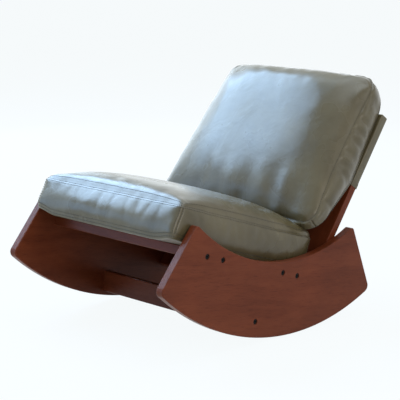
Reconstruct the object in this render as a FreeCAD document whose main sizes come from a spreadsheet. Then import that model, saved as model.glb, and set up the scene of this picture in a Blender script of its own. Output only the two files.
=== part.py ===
import FreeCAD, Part
import math
import os
import re
import Sketcher

# A low rocking lounge chair. Two crescent panels are the rockers, bolted boards tie them together,
# a framed back stands between them on cleats, and two leather cushions lie loose on the frame.
# Sizes are in millimetres and degrees. +Z is up, the sitter faces -Y and +X is the sitter's left.
# The origin is on the floor, midway between the panels, below the centre of the rocker arc.
# The chair is drawn tilted back to where it balances with nobody in it.

Vector = FreeCAD.Vector
Placement = FreeCAD.Placement
Rotation = FreeCAD.Rotation
ALONG_X = Vector(1, 0, 0)
ALONG_Y = Vector(0, 1, 0)
ALONG_Z = Vector(0, 0, 1)
LEFT = 1
RIGHT = -1
SIDE_NAMES = {LEFT: "left", RIGHT: "right"}

# Driving dimensions
SIZES = {
    # Whole chair
    "chair_width": 625,
    "rest_tilt": 8.9,
    "fit_gap": 0.3,
    "hole_gap": 0.2,
    # Rocker panels
    "panel_thickness": 25,
    "rocker_radius": 704,
    "toe_angle": 34.6,
    "dip_radius": 510,
    "dip_height": 201.5,
    "tip_angle": 35.9,
    "tip_radius": 9,
    "toe_radius": 18,
    "panel_rounding": 3,
    # Seat rails, set by the front rail's centre and the slope of the seat
    "seat_tilt": 8.9,
    "front_rail_y": -225.5,
    "front_rail_z": 213.5,
    "rail_spacing": 290.5,
    "rail_width": 84,
    "rail_thickness": 25,
    "board_rounding": 2,
    # Bolts, washers and barrel nuts
    "bolt_pitch": 58,
    "bolt_diameter": 6,
    "bolt_reach": 30,
    "bolt_tail": 10,
    "bolt_end_gap": 1,
    "bolt_head_diameter": 12.5,
    "bolt_head_height": 4.5,
    "bolt_recess": 1.5,
    "socket_width": 5,
    "socket_depth": 2.5,
    "washer_diameter": 14,
    "washer_thickness": 1.2,
    "washer_gap": 1,
    "nut_diameter": 10,
    "nut_length": 16,
    # Lower stretcher and its dowels
    "stretcher_y": -52,
    "stretcher_z": 45,
    "stretcher_height": 58,
    "stretcher_thickness": 25,
    "stretcher_dowel_pitch": 36,
    "dowel_diameter": 8,
    "dowel_length": 40,
    "dowel_in_panel": 12,
    # Webbing straps and tacks
    "strap_pitch": 110,
    "strap_width": 50,
    "strap_thickness": 2.5,
    "strap_setback": 12,
    "tack_setback": 14,
    "tack_pitch": 26,
    "tack_diameter": 2.4,
    "tack_length": 12,
    "tack_head_diameter": 8,
    "tack_head_height": 1.2,
    # Back frame
    "back_lean": 26,
    "back_offset": 90.5,
    "back_thickness": 22,
    "back_foot": 150,
    "back_top": 724,
    "back_side_gap": 1,
    "upright_width": 120,
    "cross_rail_width": 80,
    "back_dowel_length": 50,
    "back_dowel_pitch": 44,
    # Cleats and screws
    "cleat_width": 30,
    "cleat_thickness": 25,
    "cleat_length": 150,
    "cleat_rise": 15,
    "screw_diameter": 5,
    "screw_head_diameter": 9,
    "screw_head_height": 3,
    "cleat_screw_length": 42,
    "cleat_screw_pitch": 50,
    "upright_screw_length": 38,
    "upright_screw_pitch": 50,
    # Leather pocket over the back
    "leather_thickness": 2,
    "pocket_length": 226,
    "pocket_gap": 0.5,
    # Both cushions
    "cushion_side_gap": 6.5,
    "crown_gap": 3,
    "lip": 11,
    "seam_tuck": 3,
    "side_pull": 5,
    "boxing_bulge": 5,
    "zip_width": 12,
    # Seat cushion
    "seat_overhang": 79,
    "seat_depth": 514,
    "seat_boxing": 86,
    "seat_crown": 58,
    "seat_front_corner": 26,
    "seat_rear_corner": 34,
    "core_rim": 34,
    "core_web": 20,
    "core_cell_depth": 105,
    # Back cushion
    "back_cushion_foot": 350,
    "back_cushion_height": 450,
    "back_cushion_width": 590,
    "back_boxing": 88,
    "back_crown": 44,
    "back_foot_corner": 42,
    "back_top_corner": 80,
    "back_taper": 10,
    "insert_wall": 13.6,
    "baffle_thickness": 6,
}
STRAP_COUNT = 5
TACKS_PER_END = 2
CLEAT_SCREWS = 3
UPRIGHT_SCREWS = 2
CROWN_STEPS = 7
CROWN_RUN = 0.9
CROWN_PULL_CHANGE = 1.5
CORNER_LIMIT = 0.8
CORE_COLUMNS = 6
CORE_ROWS = 5
BAFFLE_COUNT = 4

doc = FreeCAD.newDocument("RockingChair")
sheet = doc.addObject("Spreadsheet::Sheet", "Sizes")
for row, (alias, number) in enumerate(SIZES.items(), start=1):
    sheet.set(f"A{row}", alias)
    sheet.set(f"B{row}", str(number))
    sheet.setAlias(f"B{row}", alias)
doc.recompute()
nodes = []


def linked(formula):
    """A formula written with plain size names, as an expression on the sheet's cells."""
    return re.sub(r"[a-z_]+", lambda word: "Sizes." + word[0] if word[0] in SIZES else word[0], str(formula))


def size(formula):
    """The value of a formula in millimetres or degrees."""
    return float(sheet.evalExpression(linked(formula)))


def bind(thing, name, formula):
    thing.setExpression(name, linked(formula))


# Lengths that several pieces share
INNER_WIDTH = "(chair_width - 2 * panel_thickness)"
BACK_HALF = f"({INNER_WIDTH} / 2 - back_side_gap)"
CROSS_RAIL_LENGTH = f"(2 * {BACK_HALF} - 2 * upright_width)"
COUNTERBORE_DEPTH = "(bolt_recess + bolt_head_height + washer_thickness)"
COUNTERBORE_DIAMETER = "(washer_diameter + washer_gap)"
BOLT_HOLE_DEPTH = "(bolt_reach + bolt_tail + bolt_end_gap)"
REBATE_DEPTH = "(strap_thickness + tack_head_height + fit_gap)"
STRAP_LENGTH = "(rail_spacing + rail_width - 2 * strap_setback)"
TACK_FROM_RAIL = "(rail_width / 2 - strap_setback - tack_setback)"
CLEAT_MIDDLE = "(back_foot + cleat_rise + cleat_length / 2)"
CLEAT_SCREW_SETBACK = "(back_thickness + cleat_thickness / 2)"
CLEAT_X = f"({INNER_WIDTH} / 2 - cleat_width / 2)"
SEAT_CUSHION_HALF = f"({INNER_WIDTH} / 2 - cushion_side_gap)"
FILLING_SKIN = "(leather_thickness + fit_gap)"
DIP_CENTRE = "(dip_height + dip_radius)"
SEAT_SLOPE_Y = "cos(seat_tilt)"
SEAT_SLOPE_Z = "-sin(seat_tilt)"

# Frames of the chair, the seat and the back, in which the pieces are placed
ARC_CENTRE = Vector(0, 0, size("rocker_radius"))
CHAIR = Placement(ARC_CENTRE, Rotation(ALONG_X, -size("rest_tilt"))) * Placement(-ARC_CENTRE, Rotation())
SEAT = CHAIR * Placement(
    Vector(0, size("front_rail_y"), size("front_rail_z")), Rotation(ALONG_X, -size("seat_tilt"))
)
BACK = CHAIR * Placement(
    Vector(0, size("back_offset * cos(back_lean)"), -size("back_offset * sin(back_lean)")),
    Rotation(ALONG_X, -size("back_lean")),
)


def shift(frame, x="0", y="0", z="0", turn=None):
    """A frame moved by formulas along its own axes, and turned there."""
    return frame * Placement(Vector(size(x), size(y), size(z)), turn or Rotation())


def keep(thing, label, placement):
    """Names a finished piece, puts it in its place and lists it for export."""
    thing.Label = label
    thing.Placement = placement
    nodes.append(thing)


# Sketches and features
def start_body(name):
    return doc.addObject("PartDesign::Body", name + "_body")


def start_sketch(body, role, offset="0"):
    """A sketch on one of the body's own planes, moved along the plane's normal."""
    sketch = body.newObject("Sketcher::SketchObject", body.Name + "_sketch")
    plane = next(feature for feature in body.Origin.OriginFeatures if feature.Role == role)
    sketch.AttachmentSupport = [(plane, "")]
    sketch.MapMode = "FlatFace"
    bind(sketch, "AttachmentOffset.Base.z", offset)
    return sketch


def constrain(sketch, formula, kind, *where):
    index = sketch.addConstraint(Sketcher.Constraint(kind, *where, size(formula)))
    bind(sketch, f"Constraints[{index}]", formula)


def draw_rectangle(sketch, left, bottom, width, height):
    x0, y0 = size(left), size(bottom)
    x1, y1 = x0 + size(width), y0 + size(height)
    corners = [Vector(x0, y0), Vector(x1, y0), Vector(x1, y1), Vector(x0, y1)]
    first = sketch.GeometryCount
    for index in range(4):
        sketch.addGeometry(Part.LineSegment(corners[index], corners[(index + 1) % 4]))
    for index in range(4):
        sketch.addConstraint(
            Sketcher.Constraint("Coincident", first + index, 2, first + (index + 1) % 4, 1)
        )
        kind = "Vertical" if index % 2 else "Horizontal"
        sketch.addConstraint(Sketcher.Constraint(kind, first + index))
    constrain(sketch, width, "DistanceX", first, 1, first, 2)
    constrain(sketch, height, "DistanceY", first + 1, 1, first + 1, 2)
    constrain(sketch, left, "DistanceX", -1, 1, first, 1)
    constrain(sketch, bottom, "DistanceY", -1, 1, first, 1)


def draw_circle(sketch, x, y, diameter):
    circle = Part.Circle(Vector(size(x), size(y)), ALONG_Z, size(diameter) / 2)
    index = sketch.addGeometry(circle)
    constrain(sketch, diameter, "Diameter", index)
    constrain(sketch, x, "DistanceX", -1, 1, index, 3)
    constrain(sketch, y, "DistanceY", -1, 1, index, 3)


def add_pad(body, sketch, length, symmetric=False):
    pad = body.newObject("PartDesign::Pad", body.Name + "_pad")
    pad.Profile = sketch
    if symmetric:
        pad.SideType = "Symmetric"
    bind(pad, "Length", length)
    doc.recompute()
    return pad


def add_pocket(body, sketch, depth=None, reverse=False):
    """Cuts a sketch against its normal, or along it in reverse; with no depth it goes right through."""
    before = body.Shape.Volume
    pocket = body.newObject("PartDesign::Pocket", body.Name + "_pocket")
    pocket.Profile = sketch
    pocket.Reversed = reverse
    if depth is None:
        pocket.Type = "ThroughAll"
    else:
        bind(pocket, "Length", depth)
    doc.recompute()
    if body.Shape.Volume >= before:
        raise RuntimeError(f"{pocket.Name} cuts nothing")
    return pocket


def add_fillet(body, radius, chosen):
    """Rounds the edges of the body's last feature for which chosen(edge) holds."""
    base = body.Tip
    names = [f"Edge{number}" for number, edge in enumerate(base.Shape.Edges, start=1) if chosen(edge)]
    fillet = body.newObject("PartDesign::Fillet", body.Name + "_fillet")
    fillet.Base = (base, names)
    bind(fillet, "Radius", radius)
    doc.recompute()


def add_mirror(body, features):
    """Repeats features on the other side of the body's YZ plane."""
    mirror = body.newObject("PartDesign::Mirrored", body.Name + "_mirror")
    mirror.Originals = features
    plane = next(feature for feature in body.Origin.OriginFeatures if feature.Role == "YZ_Plane")
    mirror.MirrorPlane = (plane, [""])
    body.Tip = mirror
    doc.recompute()


def runs_along(direction):
    """Picks the straight edges that run along a direction."""
    def chosen(edge):
        first, last = edge.Vertexes[0].Point, edge.Vertexes[-1].Point
        length = (last - first).Length
        return length > 0 and abs((last - first).dot(direction)) > 0.999 * length
    return chosen


def board(name, length, width, thickness):
    """A centred board along X, with its long edges rounded."""
    body = start_body(name)
    outline = start_sketch(body, "XY_Plane")
    draw_rectangle(outline, f"-{length} / 2", f"-{width} / 2", length, width)
    add_pad(body, outline, thickness, symmetric=True)
    add_fillet(body, "board_rounding", runs_along(ALONG_X))
    return body


def post(name, left, width, bottom, length, front, thickness):
    """An upright board along Z, from its left, front and bottom, with its long edges rounded."""
    body = start_body(name)
    outline = start_sketch(body, "XY_Plane", bottom)
    draw_rectangle(outline, left, front, width, thickness)
    add_pad(body, outline, length)
    add_fillet(body, "board_rounding", runs_along(ALONG_Z))
    return body


def drill(body, role, offset, places, diameter, depth=None, reverse=False):
    """One pocket of equal round holes at the given places on a plane of the body."""
    sketch = start_sketch(body, role, offset)
    for x, y in places:
        draw_circle(sketch, x, y, diameter)
    return add_pocket(body, sketch, depth, reverse)


def spread(count, pitch):
    """Formulas for equal steps centred on zero."""
    return [f"{step - (count - 1) / 2} * {pitch}" for step in range(count)]


# Rocker panels
BOLTS_ALONG_SEAT = [
    "-bolt_pitch / 2",
    "bolt_pitch / 2",
    "(rail_spacing - bolt_pitch / 2)",
    "(rail_spacing + bolt_pitch / 2)",
]
BOLT_PLACES = [
    (f"front_rail_y + {SEAT_SLOPE_Y} * {along}", f"front_rail_z + {SEAT_SLOPE_Z} * {along}")
    for along in BOLTS_ALONG_SEAT
] + [("stretcher_y", "stretcher_z")]
STRETCHER_DOWELS = spread(2, "stretcher_dowel_pitch")


def cleat_screw_place(along):
    """Where a cleat screw enters the panel, from its step along the cleat."""
    across = f"(back_offset + {CLEAT_SCREW_SETBACK})"
    up = f"({CLEAT_MIDDLE} + {along})"
    return (
        f"{across} * cos(back_lean) + {up} * sin(back_lean)",
        f"{up} * cos(back_lean) - {across} * sin(back_lean)",
    )


def draw_crescent(sketch):
    """The rocker arc below, the dip above it and straight ends, alike to the front and the rear."""
    arcs = []
    for radius, centre, half in (("rocker_radius", "rocker_radius", "toe_angle"),
                                 ("dip_radius", DIP_CENTRE, "tip_angle")):
        circle = Part.Circle(Vector(0, size(centre)), ALONG_Z, size(radius))
        half_turn = math.radians(size(half))
        arcs.append(Part.ArcOfCircle(circle, 1.5 * math.pi - half_turn, 1.5 * math.pi + half_turn))
        index = sketch.addGeometry(arcs[-1])
        sketch.addConstraint(Sketcher.Constraint("PointOnObject", index, 3, -2))
        sketch.addConstraint(Sketcher.Constraint("Symmetric", index, 1, index, 2, -2))
        constrain(sketch, centre, "DistanceY", -1, 1, index, 3)
        constrain(sketch, radius, "Radius", index)
        constrain(sketch, f"2 * {radius} * sin({half})", "DistanceX", index, 1, index, 2)
    bottom, dip = range(2)
    for end, number in (("StartPoint", 1), ("EndPoint", 2)):
        line = sketch.addGeometry(Part.LineSegment(getattr(arcs[0], end), getattr(arcs[1], end)))
        sketch.addConstraint(Sketcher.Constraint("Coincident", line, 1, bottom, number))
        sketch.addConstraint(Sketcher.Constraint("Coincident", line, 2, dip, number))


def at_corner(radius, half, centre):
    """Picks the panel's two corner edges at the ends of an arc."""
    corner_y = size(f"{radius} * sin({half})")
    corner_z = size(f"{centre} - {radius} * cos({half})")

    def chosen(edge):
        place = edge.Vertexes[0].Point
        near = math.hypot(abs(place.y) - corner_y, place.z - corner_z) < 1
        return near and runs_along(ALONG_X)(edge)
    return chosen


def on_panel_faces(edge):
    """Picks the edges that bound the panel's two flat faces."""
    return all(abs(abs(vertex.X) - size("panel_thickness / 2")) < 1e-6 for vertex in edge.Vertexes)


def rocker_panel(side):
    body = start_body(SIDE_NAMES[side] + "_panel")
    outline = start_sketch(body, "YZ_Plane")
    draw_crescent(outline)
    add_pad(body, outline, "panel_thickness", symmetric=True)
    add_fillet(body, "tip_radius", at_corner("dip_radius", "tip_angle", DIP_CENTRE))
    add_fillet(body, "toe_radius", at_corner("rocker_radius", "toe_angle", "rocker_radius"))
    add_fillet(body, "panel_rounding", on_panel_faces)
    outer_face, inner_face = f"{side} * panel_thickness / 2", f"{-side} * panel_thickness / 2"
    from_outside, from_inside = side == RIGHT, side == LEFT
    drill(body, "YZ_Plane", outer_face, BOLT_PLACES, "bolt_diameter + hole_gap", None, from_outside)
    drill(body, "YZ_Plane", outer_face, BOLT_PLACES, COUNTERBORE_DIAMETER, COUNTERBORE_DEPTH, from_outside)
    dowel_places = [("stretcher_y", f"stretcher_z + {step}") for step in STRETCHER_DOWELS]
    drill(body, "YZ_Plane", inner_face, dowel_places, "dowel_diameter + hole_gap",
          "dowel_in_panel + fit_gap", from_inside)
    screw_places = [cleat_screw_place(along) for along in spread(CLEAT_SCREWS, "cleat_screw_pitch")]
    drill(body, "YZ_Plane", inner_face, screw_places, "screw_diameter + hole_gap",
          "cleat_screw_length - cleat_width + fit_gap", from_inside)
    middle = f"{side} * (chair_width - panel_thickness) / 2"
    keep(body, SIDE_NAMES[side] + "_rocker_panel", shift(CHAIR, middle))


for side in (LEFT, RIGHT):
    rocker_panel(side)

# Seat rails
STRAP_PLACES = spread(STRAP_COUNT, "strap_pitch")
TACKS_ACROSS = spread(TACKS_PER_END, "tack_pitch")


def seat_rail(label, along_seat, inward):
    """A rail bolted at both ends; inward is the side of the rail that the straps cross."""
    body = board(label, INNER_WIDTH, "rail_width", "rail_thickness")
    bolts = ["-bolt_pitch / 2", "bolt_pitch / 2"]
    holes = drill(body, "YZ_Plane", f"{INNER_WIDTH} / 2 - {BOLT_HOLE_DEPTH}", [(y, "0") for y in bolts],
                  "bolt_diameter + hole_gap", None, True)
    nuts = drill(body, "XY_Plane", "nut_length / 2 + fit_gap",
                 [(f"{INNER_WIDTH} / 2 - bolt_reach", y) for y in bolts], "nut_diameter + hole_gap")
    add_mirror(body, [holes, nuts])
    rebate_floor = f"rail_thickness / 2 - {REBATE_DEPTH}"
    rebates = start_sketch(body, "XY_Plane", rebate_floor)
    rebate_length = "(rail_width - strap_setback + fit_gap)"
    edge = "-rail_width / 2" if inward < 0 else f"rail_width / 2 - {rebate_length}"
    for x in STRAP_PLACES:
        draw_rectangle(rebates, f"{x} - strap_width / 2 - fit_gap", edge,
                       "strap_width + 2 * fit_gap", rebate_length)
    add_pocket(body, rebates, None, True)
    tack_y = f"{-inward} * {TACK_FROM_RAIL}"
    tacks = [(f"{x} + {across}", tack_y) for x in STRAP_PLACES for across in TACKS_ACROSS]
    drill(body, "XY_Plane", rebate_floor, tacks, "tack_diameter + hole_gap",
          "tack_length - strap_thickness + fit_gap")
    keep(body, label, shift(SEAT, y=along_seat))


seat_rail("front_seat_rail", "0", 1)
seat_rail("rear_seat_rail", "rail_spacing", -1)


# Lower stretcher
def lower_stretcher():
    body = board("stretcher", INNER_WIDTH, "stretcher_thickness", "stretcher_height")
    end = f"{INNER_WIDTH} / 2"
    bolts = drill(body, "YZ_Plane", f"{end} - {BOLT_HOLE_DEPTH}", [("0", "0")],
                  "bolt_diameter + hole_gap", None, True)
    nuts = drill(body, "XZ_Plane", "nut_length / 2 + fit_gap", [(f"{end} - bolt_reach", "0")],
                 "nut_diameter + hole_gap")
    dowels = drill(body, "YZ_Plane", f"{end} - (dowel_length - dowel_in_panel) - fit_gap",
                   [("0", step) for step in STRETCHER_DOWELS], "dowel_diameter + hole_gap", None, True)
    add_mirror(body, [bolts, nuts, dowels])
    keep(body, "lower_stretcher", shift(CHAIR, y="stretcher_y", z="stretcher_z"))


lower_stretcher()


# Webbing straps, each with holes for its tacks
def seat_strap(number, x):
    body = start_body(f"strap_{number}")
    outline = start_sketch(body, "XY_Plane")
    draw_rectangle(outline, "-strap_width / 2", f"-{STRAP_LENGTH} / 2", "strap_width", STRAP_LENGTH)
    for end in (-1, 1):
        for across in TACKS_ACROSS:
            tack_y = f"{end} * ({STRAP_LENGTH} / 2 - tack_setback)"
            draw_circle(outline, across, tack_y, "tack_diameter + hole_gap")
    add_pad(body, outline, "strap_thickness")
    rebate_floor = f"rail_thickness / 2 - {REBATE_DEPTH}"
    keep(body, f"seat_strap_{number}", shift(SEAT, x, "rail_spacing / 2", rebate_floor))


for number, x in enumerate(STRAP_PLACES, start=1):
    seat_strap(number, x)

# Back frame: two uprights and three cross rails
CROSS_RAILS = {
    "back_bottom_rail": "(back_foot + cross_rail_width / 2)",
    "back_middle_rail": "((back_foot + back_top) / 2)",
    "back_top_rail": "(back_top - cross_rail_width / 2)",
}
DOWELS_UP_BACK = [
    f"({middle} + {step})" for middle in CROSS_RAILS.values() for step in spread(2, "back_dowel_pitch")
]
UPRIGHT_SCREW_HEIGHTS = [
    f"({CLEAT_MIDDLE} + {step})" for step in spread(UPRIGHT_SCREWS, "upright_screw_pitch")
]


def back_upright(side):
    left = f"({BACK_HALF} - upright_width)" if side == LEFT else f"(-{BACK_HALF})"
    body = post(SIDE_NAMES[side] + "_upright", left, "upright_width", "back_foot", "back_top - back_foot",
                "0", "back_thickness")
    dowels = [("back_thickness / 2", height) for height in DOWELS_UP_BACK]
    drill(body, "YZ_Plane", f"{side} * {CROSS_RAIL_LENGTH} / 2", dowels, "dowel_diameter + hole_gap",
          "back_dowel_length / 2 + fit_gap", side == LEFT)
    screws = [(f"{side} * {CLEAT_X}", height) for height in UPRIGHT_SCREW_HEIGHTS]
    drill(body, "XZ_Plane", "0", screws, "screw_diameter + hole_gap")
    drill(body, "XZ_Plane", "0", screws, "screw_head_diameter + hole_gap", "screw_head_height + fit_gap")
    keep(body, SIDE_NAMES[side] + "_back_upright", BACK)


def cross_rail(label, middle):
    body = board(label, CROSS_RAIL_LENGTH, "back_thickness", "cross_rail_width")
    dowels = [("0", step) for step in spread(2, "back_dowel_pitch")]
    holes = drill(body, "YZ_Plane", f"{CROSS_RAIL_LENGTH} / 2 - back_dowel_length / 2 - fit_gap", dowels,
                  "dowel_diameter + hole_gap", None, True)
    add_mirror(body, [holes])
    keep(body, label, shift(BACK, y="back_thickness / 2", z=middle))


for side in (LEFT, RIGHT):
    back_upright(side)
for label, middle in CROSS_RAILS.items():
    cross_rail(label, middle)


# Cleats that carry the back on the panels
def back_cleat(side):
    left = f"({side} * {CLEAT_X} - cleat_width / 2)"
    body = post(SIDE_NAMES[side] + "_cleat", left, "cleat_width", "back_foot + cleat_rise", "cleat_length",
                "back_thickness", "cleat_thickness")
    steps = spread(CLEAT_SCREWS, "cleat_screw_pitch")
    screws = [(CLEAT_SCREW_SETBACK, f"{CLEAT_MIDDLE} + {step}") for step in steps]
    free_face = f"{side} * ({CLEAT_X} - cleat_width / 2)"
    drill(body, "YZ_Plane", free_face, screws, "screw_diameter + hole_gap", None, side == LEFT)
    drill(body, "YZ_Plane", free_face, screws, "screw_head_diameter + hole_gap",
          "screw_head_height + fit_gap", side == LEFT)
    upright_screws = [(f"{side} * {CLEAT_X}", height) for height in UPRIGHT_SCREW_HEIGHTS]
    drill(body, "XZ_Plane", "-back_thickness", upright_screws, "screw_diameter + hole_gap",
          "upright_screw_length - back_thickness + 2 * fit_gap")
    keep(body, SIDE_NAMES[side] + "_back_cleat", BACK)


for side in (LEFT, RIGHT):
    back_cleat(side)


# Turned hardware, drawn once along Z with its head at the top, then set out in groups
def cylinder(name, diameter, length, start):
    solid = doc.addObject("Part::Cylinder", name)
    bind(solid, "Radius", f"{diameter} / 2")
    bind(solid, "Height", length)
    bind(solid, "Placement.Base.z", start)
    return solid


def combine(kind, name, base, tool):
    result = doc.addObject(kind, name)
    result.Base = base
    result.Tool = tool
    return result


def bolt():
    """Drawn with the underside of its head at zero."""
    shank_length = f"(panel_thickness - {COUNTERBORE_DEPTH} + washer_thickness + bolt_reach + bolt_tail)"
    shank = cylinder("bolt_shank", "bolt_diameter", shank_length, f"-{shank_length}")
    head = cylinder("bolt_head", "bolt_head_diameter", "bolt_head_height", "0")
    socket = doc.addObject("Part::Prism", "bolt_socket")
    socket.Polygon = 6
    bind(socket, "Circumradius", "socket_width / sqrt(3)")
    bind(socket, "Height", "socket_depth")
    bind(socket, "Placement.Base.z", "bolt_head_height - socket_depth")
    return combine("Part::Cut", "bolt", combine("Part::Fuse", "bolt_blank", shank, head), socket)


def washer():
    disc = cylinder("washer_disc", "washer_diameter", "washer_thickness", "-washer_thickness")
    bore = cylinder("washer_bore", "(bolt_diameter + hole_gap)", "washer_thickness", "-washer_thickness")
    return combine("Part::Cut", "washer", disc, bore)


def barrel_nut():
    """Drawn along Z, with the bolt's bore across it along X."""
    barrel = cylinder("nut_barrel", "nut_diameter", "nut_length", "-nut_length / 2")
    bore = doc.addObject("Part::Cylinder", "nut_bore")
    bind(bore, "Radius", "(bolt_diameter + hole_gap) / 2")
    bind(bore, "Height", "nut_length")
    bore.Placement.Rotation = Rotation(ALONG_Y, 90)
    bind(bore, "Placement.Base.x", "-nut_length / 2")
    return combine("Part::Cut", "barrel_nut", barrel, bore)


def headed_pin(name, diameter, length, head_diameter, head_height):
    """A tack or a screw with a flat head, drawn with the top of its head at zero."""
    shank = cylinder(name + "_shank", diameter, length, f"-{length}")
    head = cylinder(name + "_head", head_diameter, head_height, f"-{head_height}")
    return combine("Part::Fuse", name, shank, head)


def group(label, master, places, frame):
    """One node of equal solids: copies of a master at places in a frame."""
    copies = []
    for place in places:
        solid = master.Shape.copy()
        solid.Placement = place * solid.Placement
        copies.append(solid)
    node = doc.addObject("Part::Feature", label)
    node.Shape = Part.makeCompound(copies)
    keep(node, label, frame)


bolt_master = bolt()
washer_master = washer()
nut_master = barrel_nut()
stretcher_dowel = cylinder("stretcher_dowel", "dowel_diameter", "dowel_length", "-dowel_length / 2")
back_dowel = cylinder("back_dowel", "dowel_diameter", "back_dowel_length", "-back_dowel_length / 2")
tack = headed_pin("tack", "tack_diameter", "(tack_length + tack_head_height)",
                  "tack_head_diameter", "tack_head_height")
cleat_screw = headed_pin("cleat_screw", "screw_diameter", "cleat_screw_length",
                         "screw_head_diameter", "screw_head_height")
upright_screw = headed_pin("upright_screw", "screw_diameter", "upright_screw_length",
                           "screw_head_diameter", "screw_head_height")
doc.recompute()


def at(x, y, z, turn=None):
    return Placement(Vector(size(x), size(y), size(z)), turn or Rotation())


HEAD_TO_X = {side: Rotation(ALONG_Y, side * 90) for side in (LEFT, RIGHT)}
HEAD_FORWARD = Rotation(ALONG_X, 90)
HEAD_SEAT = f"(chair_width / 2 - {COUNTERBORE_DEPTH} + washer_thickness)"

for side in (LEFT, RIGHT):
    bolt_places = [at(f"{side} * {HEAD_SEAT}", y, z, HEAD_TO_X[side]) for y, z in BOLT_PLACES]
    group(SIDE_NAMES[side] + "_panel_bolts", bolt_master, bolt_places, CHAIR)
    group(SIDE_NAMES[side] + "_bolt_washers", washer_master, bolt_places, CHAIR)

NUT_X = f"({INNER_WIDTH} / 2 - bolt_reach)"
nut_places = {
    rail: [at(f"{side} * {NUT_X}", f"{centre} + {step}", "0") for side in (LEFT, RIGHT)
           for step in spread(2, "bolt_pitch")]
    for rail, centre in (("front_rail", "0"), ("rear_rail", "rail_spacing"))
}
for rail, places in nut_places.items():
    group(rail + "_barrel_nuts", nut_master, places, SEAT)
group("stretcher_barrel_nuts", nut_master,
      [at(f"{side} * {NUT_X}", "stretcher_y", "stretcher_z", HEAD_FORWARD) for side in (LEFT, RIGHT)], CHAIR)

DOWEL_X = f"({INNER_WIDTH} / 2 + dowel_in_panel - dowel_length / 2)"
group("stretcher_dowels", stretcher_dowel,
      [at(f"{side} * {DOWEL_X}", "stretcher_y", f"stretcher_z + {step}", HEAD_TO_X[side])
       for side in (LEFT, RIGHT) for step in STRETCHER_DOWELS], CHAIR)
group("back_dowels", back_dowel,
      [at(f"{side} * {CROSS_RAIL_LENGTH} / 2", "back_thickness / 2", height, HEAD_TO_X[side])
       for side in (LEFT, RIGHT) for height in DOWELS_UP_BACK], BACK)

TACK_TOP = f"(rail_thickness / 2 - {REBATE_DEPTH} + strap_thickness + tack_head_height)"
group("strap_tacks", tack,
      [at(f"{x} + {across}", y, TACK_TOP) for x in STRAP_PLACES for across in TACKS_ACROSS
       for y in (f"-{TACK_FROM_RAIL}", f"rail_spacing + {TACK_FROM_RAIL}")], SEAT)
group("cleat_screws", cleat_screw,
      [at(f"{side} * ({CLEAT_X} - cleat_width / 2)", CLEAT_SCREW_SETBACK, f"{CLEAT_MIDDLE} + {step}",
          HEAD_TO_X[-side])
       for side in (LEFT, RIGHT) for step in spread(CLEAT_SCREWS, "cleat_screw_pitch")], BACK)
group("upright_screws", upright_screw,
      [at(f"{side} * {CLEAT_X}", "0", height, HEAD_FORWARD)
       for side in (LEFT, RIGHT) for height in UPRIGHT_SCREW_HEIGHTS], BACK)


# Leather pocket that hangs the back cushion over the top of the back
def leather_sheet(name, x, y, z, width, depth, height):
    """A flat strip of leather from its low corner, in the frame of the back."""
    sheet_box = doc.addObject("Part::Box", name)
    bind(sheet_box, "Length", width)
    bind(sheet_box, "Width", depth)
    bind(sheet_box, "Height", height)
    for letter, formula in zip("xyz", (x, y, z)):
        bind(sheet_box, f"Placement.Base.{letter}", formula)
    return sheet_box


POCKET_HALF = f"({BACK_HALF} + pocket_gap + leather_thickness)"
POCKET_TOP = "(back_top + pocket_gap + leather_thickness)"
POCKET_HEM = f"({POCKET_TOP} - pocket_length)"
POCKET_INSIDE = "(back_thickness + 2 * pocket_gap)"
front_panel = leather_sheet("pocket_front_sheet", f"-{POCKET_HALF}", "-pocket_gap - leather_thickness",
                            POCKET_HEM, f"2 * {POCKET_HALF}", "leather_thickness", "pocket_length")
rear_panel = leather_sheet("pocket_rear_sheet", f"-{POCKET_HALF}", "back_thickness + pocket_gap", POCKET_HEM,
                           f"2 * {POCKET_HALF}", "leather_thickness", "pocket_length")
gussets = [
    leather_sheet("pocket_left_gusset", f"{POCKET_HALF} - leather_thickness", "-pocket_gap", POCKET_HEM,
                  "leather_thickness", POCKET_INSIDE, "pocket_length - leather_thickness"),
    leather_sheet("pocket_right_gusset", f"-{POCKET_HALF}", "-pocket_gap", POCKET_HEM,
                  "leather_thickness", POCKET_INSIDE, "pocket_length - leather_thickness"),
    leather_sheet("pocket_top_gusset", f"-{POCKET_HALF}", "-pocket_gap", f"{POCKET_TOP} - leather_thickness",
                  f"2 * {POCKET_HALF}", POCKET_INSIDE, "leather_thickness"),
]
doc.recompute()
for label, sheets in (("back_pocket_front", [front_panel]), ("back_pocket_rear", [rear_panel]),
                      ("back_pocket_gusset", gussets)):
    node = doc.addObject("Part::Feature", label)
    node.Shape = Part.makeCompound([piece.Shape for piece in sheets])
    keep(node, label, BACK)


# Cushions. Each is drawn lying flat: X across, Y along and Z from its resting face up to its crown.
class CushionForm:
    """The sizes of one cushion: low is its end at -Y, from which it tapers to the other end."""

    def __init__(self, half_width, half_length, boxing, crown, low_corner, high_corner, taper="0"):
        self.half_width = size(half_width)
        self.half_length = size(half_length)
        self.low_seam = size("lip")
        self.high_seam = size("lip") + size(boxing)
        self.crown = size(crown)
        self.low_corner = size(low_corner)
        self.high_corner = size(high_corner)
        self.taper = size(taper)


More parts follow.
